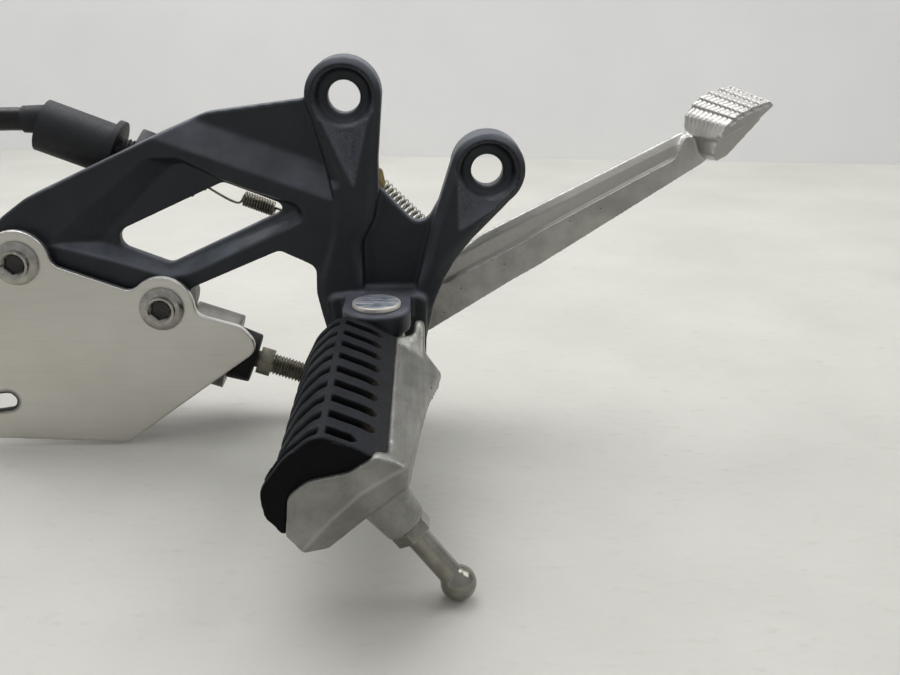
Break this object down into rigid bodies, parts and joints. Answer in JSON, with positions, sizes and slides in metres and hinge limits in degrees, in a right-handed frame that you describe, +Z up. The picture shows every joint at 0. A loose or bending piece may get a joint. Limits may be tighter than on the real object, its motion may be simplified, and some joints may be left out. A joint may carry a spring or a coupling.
{
  "type": "rear sets footrest",
  "caption": "Right-hand rear set: black cast bracket with folding rubber-topped footpeg, forged brake pedal, heel guard, master cylinder and brake light switch with its lead.",
  "frame": {"origin": "midway between the frame bolt holes, on the face that meets the motorbike's frame", "axes": "+X forward, +Y inboard towards the motorbike, +Z up as the part stands on a bench"},
  "size_m": [0.3198, 0.1939, 0.1352],
  "materials": {
    "black_casting": "satin black coating on cast aluminium",
    "brushed_aluminium": "brushed",
    "cast_aluminium": "as cast, dull",
    "forged_aluminium": "forged, tumbled",
    "zinc_steel": "zinc plated",
    "dark_steel": "dulled plating",
    "yellow_zinc": "yellow zinc plated",
    "spring_wire": "bright wire",
    "black_rubber": "matte",
    "black_plastic": "matte",
    "lead_sheath": "gloss"
  },
  "bodies": {
    "bracket": {"footrest_bracket": "black_casting", "heel_guard": "brushed_aluminium", "guard_screws": "zinc_steel", "master_cylinder_body": "cast_aluminium", "cylinder_circlip": "dark_steel", "cylinder_boot": "black_rubber", "inlet_elbow": "black_plastic", "elbow_retainer": "dark_steel", "piston_spring": "spring_wire", "pedal_pivot_bolt": "zinc_steel", "spring_anchor": "yellow_zinc", "pedal_return_spring": "spring_wire", "switch_body": "black_plastic", "switch_adjuster_nut": "black_plastic", "switch_boot": "black_rubber", "peg_pivot_pin": "zinc_steel", "peg_pin_washer": "zinc_steel", "peg_pin_clip": "dark_steel", "peg_torsion_spring": "spring_wire", "switch_lead": "lead_sheath", "lead_connector": "black_plastic"},
    "footpeg": {"footpeg_body": "cast_aluminium", "peg_rubber": "black_rubber", "rubber_screws": "zinc_steel", "feeler_bolt": "dark_steel"},
    "pedal": {"brake_pedal": "forged_aluminium", "pedal_bush": "dark_steel"},
    "rod": {"pushrod": "dark_steel", "cylinder_piston": "cast_aluminium", "piston_cups": "black_rubber", "pushrod_clevis": "zinc_steel", "clevis_locknut": "dark_steel", "clevis_pin": "zinc_steel", "clevis_pin_clip": "dark_steel"},
    "plunger": {"switch_plunger": "black_plastic", "switch_spring": "spring_wire"}
  },
  "joints": [
    {"name": "peg_fold", "type": "hinge", "parent": "bracket", "child": "footpeg", "pos_m": [-0.0139, -0.03, -0.0667], "axis": [0, 0, -1], "range_deg": [0, 60], "stiffness_Nm_per_rad": 1, "springref_deg": -22.92, "deforming": ["peg_torsion_spring"]},
    {"name": "pedal_pivot", "type": "hinge", "parent": "bracket", "child": "pedal", "pos_m": [-0.0095, 0.008, -0.068], "axis": [0, 1, 0], "range_deg": [0, 10], "stiffness_Nm_per_rad": 8, "springref_deg": -8.59, "deforming": ["pedal_return_spring"]},
    {"name": "rod_slide", "type": "slide", "parent": "bracket", "child": "rod", "axis": [-0.9426, 0, 0.3338], "range_m": [0, 0.0062], "deforming": ["cylinder_boot", "piston_spring"]},
    {"name": "plunger_slide", "type": "slide", "parent": "bracket", "child": "plunger", "axis": [0.9323, 0, -0.3616], "range_m": [0, 0.0039]}
  ],
  "couplings": [
    {"joint": "rod_slide", "follows": "pedal_pivot", "m_per_rad": 0.034781},
    {"joint": "plunger_slide", "follows": "pedal_pivot", "m_per_rad": 0.021532}
  ]
}
